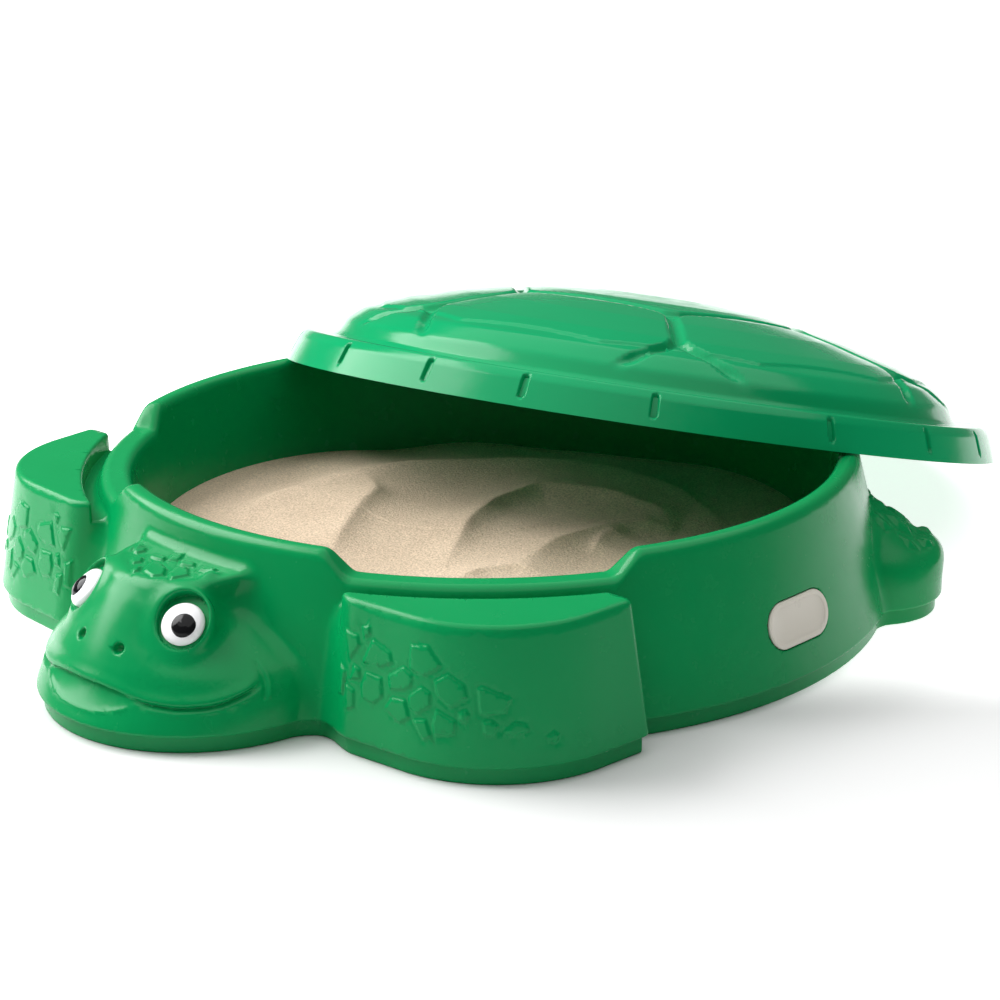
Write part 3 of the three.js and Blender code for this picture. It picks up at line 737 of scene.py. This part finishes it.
def make_badge():
    """A plain pill-shaped plate with a raised border, lying in its pocket in the side wall."""
    t = np.linspace(0, 2 * math.pi, BADGE_SIDES, endpoint=False)
    straight = (BADGE_LENGTH - BADGE_HEIGHT) / 2
    rings = []
    for inset, level in BADGE_LEVELS:
        r = BADGE_HEIGHT / 2 - inset
        px = r * np.cos(t) + straight * np.sign(np.cos(t)) * np.minimum(1, np.abs(np.cos(t)) * 8)
        rings.append(np.stack([px, r * np.sin(t), np.full(BADGE_SIDES, level)], -1))
    made = new_mesh("badge_plain", np.concatenate(rings), grid_faces(len(rings), BADGE_SIDES))
    made.data.transform(
        Matrix.Translation(Vector((wall_radius(BADGE_Z), 0, BADGE_Z)) * MM)
        @ Matrix.Rotation(math.pi / 2 - BADGE_LEAN, 4, "Y") @ Matrix.Rotation(math.pi / 2, 4, "Z"))
    return made


# ---- Materials ----

def material(name):
    """A new material, with its nodes, links and shader."""
    made = bpy.data.materials.new(name)
    made.use_nodes = True
    nodes, links = made.node_tree.nodes, made.node_tree.links
    return made, nodes, links, nodes["Principled BSDF"]


def noise(nodes, links, scale, detail=3.0, rough=0.5):
    """A noise texture in the object's own coordinates."""
    where = nodes.new("ShaderNodeTexCoord")
    made = nodes.new("ShaderNodeTexNoise")
    made.inputs["Scale"].default_value = scale
    made.inputs["Detail"].default_value = detail
    made.inputs["Roughness"].default_value = rough
    links.new(where.outputs["Object"], made.inputs["Vector"])
    return made


def spread(nodes, links, source, low, high):
    """Maps a texture's middle range to low..high."""
    made = nodes.new("ShaderNodeMapRange")
    made.inputs["From Min"].default_value = 0.3
    made.inputs["From Max"].default_value = 0.7
    made.inputs["To Min"].default_value = low
    made.inputs["To Max"].default_value = high
    links.new(source.outputs["Fac"], made.inputs["Value"])
    return made


def tint(nodes, links, source, colour_a, colour_b):
    """Maps a texture's middle range to a blend of two colours."""
    ramp = nodes.new("ShaderNodeValToRGB")
    ramp.color_ramp.elements[0].position = 0.3
    ramp.color_ramp.elements[1].position = 0.7
    ramp.color_ramp.elements[0].color = (*colour_a, 1)
    ramp.color_ramp.elements[1].color = (*colour_b, 1)
    links.new(source.outputs["Fac"], ramp.inputs["Fac"])
    return ramp


def bump(nodes, links, bsdf, source, distance):
    made = nodes.new("ShaderNodeBump")
    made.inputs["Distance"].default_value = distance
    made.inputs["Strength"].default_value = 1.0
    links.new(source.outputs["Fac"], made.inputs["Height"])
    links.new(made.outputs["Normal"], bsdf.inputs["Normal"])


def plastic(name, colour_a, colour_b, rough, uneven, orange_peel):
    """Moulded polyethylene: soft gloss, faint cloudiness and a slightly uneven surface."""
    made, nodes, links, bsdf = material(name)
    cloud = noise(nodes, links, 3.5)
    links.new(tint(nodes, links, cloud, colour_a, colour_b).outputs["Color"], bsdf.inputs["Base Color"])
    grain = noise(nodes, links, 40)
    roughness = spread(nodes, links, grain, rough - uneven, rough + uneven)
    links.new(roughness.outputs["Result"], bsdf.inputs["Roughness"])
    bump(nodes, links, bsdf, noise(nodes, links, 60, 2), orange_peel)
    bsdf.inputs["Specular IOR Level"].default_value = 0.2
    return made


tub_plastic = plastic("tub_plastic", (0.0, 0.255, 0.068), (0.0003, 0.285, 0.081), 0.25, 0.03, 0.00012)
# Painted light: the lid is the tub's plastic, but its green is painted lighter and bluer to stand in for
# the light and sheen on its top.
lid_plastic_painted_lighter = plastic("lid_plastic_painted_lighter", (0.0, 0.30, 0.105), (0.0003, 0.335, 0.12), 0.17, 0.03, 0.00012)
white_plastic = plastic("eye_white", (0.88, 0.88, 0.90), (0.92, 0.92, 0.93), 0.18, 0.03, 0.00003)
black_plastic = plastic("eye_black", (0.004, 0.004, 0.005), (0.007, 0.007, 0.008), 0.08, 0.02, 0.00003)
badge_cream = plastic("badge_cream", (0.72, 0.68, 0.58), (0.77, 0.73, 0.64), 0.3, 0.03, 0.00005)


def make_sand_material():
    """Dry sand: pale patches, specks and a grainy surface."""
    made, nodes, links, bsdf = material("sand_grains")
    patches = noise(nodes, links, 7, 5, 0.6)
    grains = noise(nodes, links, 420, 2, 0.6)
    base = tint(nodes, links, patches, (0.54, 0.42, 0.305), (0.65, 0.515, 0.38))
    speck = tint(nodes, links, grains, (0.70, 0.70, 0.70), (1.25, 1.25, 1.25))
    mix = nodes.new("ShaderNodeMix")
    mix.data_type = "RGBA"
    mix.blend_type = "MULTIPLY"
    mix.inputs["Factor"].default_value = 1.0
    links.new(base.outputs["Color"], mix.inputs["A"])
    links.new(speck.outputs["Color"], mix.inputs["B"])
    links.new(mix.outputs["Result"], bsdf.inputs["Base Color"])
    bsdf.inputs["Roughness"].default_value = 0.95
    bsdf.inputs["Specular IOR Level"].default_value = 0.15
    bump(nodes, links, bsdf, grains, 0.0012)
    return made


sand_grains = make_sand_material()


# ---- The object ----

def place(made, look, body, node, slot):
    """Gives a piece its material and its body, and hides the CAD node it stands for; slot is not used."""
    made.data.materials.append(look)
    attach(made, body)
    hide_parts(node)


# Corners of the box round the tub's left half, in which it is meshed.
TUB_LOW, TUB_HIGH = (0, -630, -3), (566, 500, 194)

tub = mesh_field("tub_moulding", TUB_LOW, TUB_HIGH, symmetric_field, full_field)
place(tub, tub_plastic, "base", "tub", "tub_green")
place(make_cover(), lid_plastic_painted_lighter, "cover", "lid", "cover_green")
place(make_sand(), sand_grains, "base", "sand_fill", "sand")
place(make_badge(), badge_cream, "base", "badge_plate", "badge")
for side, label in ((1, "left"), (-1, "right")):
    white, pupil = make_eye(side, label)
    place(white, white_plastic, "base", "eye_white_" + label, "eye_white")
    place(pupil, black_plastic, "base", "eye_pupil_" + label, "eye_black")


# ---- Floor, light and camera ----

CAMERA_PLACE = (1.9089, -2.0171, 1.0390)
CAMERA_HEADING, CAMERA_PITCH = (-0.6820, 0.7314), 18.54
CAMERA_LENS, CAMERA_SENSOR = 87.8, 36
WORLD_LIGHT = 0.14
SUN_TOWARDS, SUN_STRENGTH, SUN_SPREAD = (-0.10, 0.05, 1.0), 1.9, 90
BOX_PLACE, BOX_TARGET, BOX_SIZE, BOX_POWER = (-2.8, -1.4, 2.7), (0, -0.1, 0.1), 3.2, 250
FLOOR_SPAN, FLOOR_STEPS = 40.0, 12
# The back half of the floor glows with painted light that washes out the shadows cast there. It starts to
# glow at the first distance along the camera's heading, in metres from the middle, and glows in full from
# the second.
GLOW_FROM, GLOW_TO, GLOW = -0.40, -0.22, 0.82


def make_floor():
    """A wide pale floor whose back half glows as painted light, washing out the shadows cast there."""
    n = FLOOR_STEPS + 1
    at = np.linspace(-FLOOR_SPAN, FLOOR_SPAN, n)
    x, y = np.meshgrid(at, at, indexing="ij")
    vertices = np.stack([x, y, 0 * x], -1).reshape(-1, 3) / MM
    faces = [(i * n + j, (i + 1) * n + j, (i + 1) * n + j + 1, i * n + j + 1)
             for i in range(FLOOR_STEPS) for j in range(FLOOR_STEPS)]
    made = new_mesh("floor", vertices, faces)
    look, nodes, links, bsdf = material("floor_white")
    cloud = noise(nodes, links, 1.2)
    ramp = tint(nodes, links, cloud, (0.80, 0.80, 0.80), (0.82, 0.82, 0.82))
    links.new(ramp.outputs["Color"], bsdf.inputs["Base Color"])
    bsdf.inputs["Roughness"].default_value = 0.9
    bsdf.inputs["Specular IOR Level"].default_value = 0.1
    where = nodes.new("ShaderNodeTexCoord")
    behind = nodes.new("ShaderNodeVectorMath")
    behind.operation = "DOT_PRODUCT"
    behind.inputs[1].default_value = (*CAMERA_HEADING, 0)
    links.new(where.outputs["Object"], behind.inputs[0])
    glow = nodes.new("ShaderNodeMapRange")
    glow.interpolation_type = "SMOOTHSTEP"
    glow.inputs["From Min"].default_value = GLOW_FROM
    glow.inputs["From Max"].default_value = GLOW_TO
    glow.inputs["To Max"].default_value = GLOW
    links.new(behind.outputs["Value"], glow.inputs["Value"])
    # Painted light: the floor's back half emits light so that cast shadow there is washed out.
    bsdf.inputs["Emission Color"].default_value = (1, 1, 1, 1)
    links.new(glow.outputs["Result"], bsdf.inputs["Emission Strength"])
    made.data.materials.append(look)


def sun(name, towards, strength, spread_degrees):
    """A soft distant light; towards is the way to it from the object."""
    data = bpy.data.lights.new(name, "SUN")
    data.energy = strength
    data.angle = math.radians(spread_degrees)
    made = bpy.data.objects.new(name, data)
    made.rotation_euler = Vector(towards).to_track_quat("Z", "Y").to_euler()
    bpy.context.scene.collection.objects.link(made)


def panel(name, place_at, target, size, power):
    """A square soft box that faces a target."""
    data = bpy.data.lights.new(name, "AREA")
    data.shape = "RECTANGLE"
    data.size, data.size_y = size, size
    data.energy = power
    made = bpy.data.objects.new(name, data)
    made.location = place_at
    made.rotation_euler = (Vector(target) - Vector(place_at)).to_track_quat("-Z", "Y").to_euler()
    bpy.context.scene.collection.objects.link(made)


def make_world():
    world = bpy.data.worlds.new("studio")
    bpy.context.scene.world = world
    world.use_nodes = True
    background = world.node_tree.nodes["Background"]
    background.inputs["Color"].default_value = (1, 1, 1, 1)
    background.inputs["Strength"].default_value = WORLD_LIGHT


make_floor()
make_world()
sun("top", SUN_TOWARDS, SUN_STRENGTH, SUN_SPREAD)
panel("soft_box", BOX_PLACE, BOX_TARGET, BOX_SIZE, BOX_POWER)
bpy.context.scene.view_settings.view_transform = "Standard"


def make_camera():
    camera = bpy.data.objects.new("camera", bpy.data.cameras.new("camera"))
    camera.data.lens = CAMERA_LENS
    camera.data.sensor_width = CAMERA_SENSOR
    camera.location = CAMERA_PLACE
    drop = math.radians(CAMERA_PITCH)
    level = math.cos(drop)
    view = Vector((CAMERA_HEADING[0] * level, CAMERA_HEADING[1] * level, -math.sin(drop)))
    camera.rotation_euler = view.to_track_quat("-Z", "Y").to_euler()
    bpy.context.scene.collection.objects.link(camera)
    bpy.context.scene.camera = camera


make_camera()
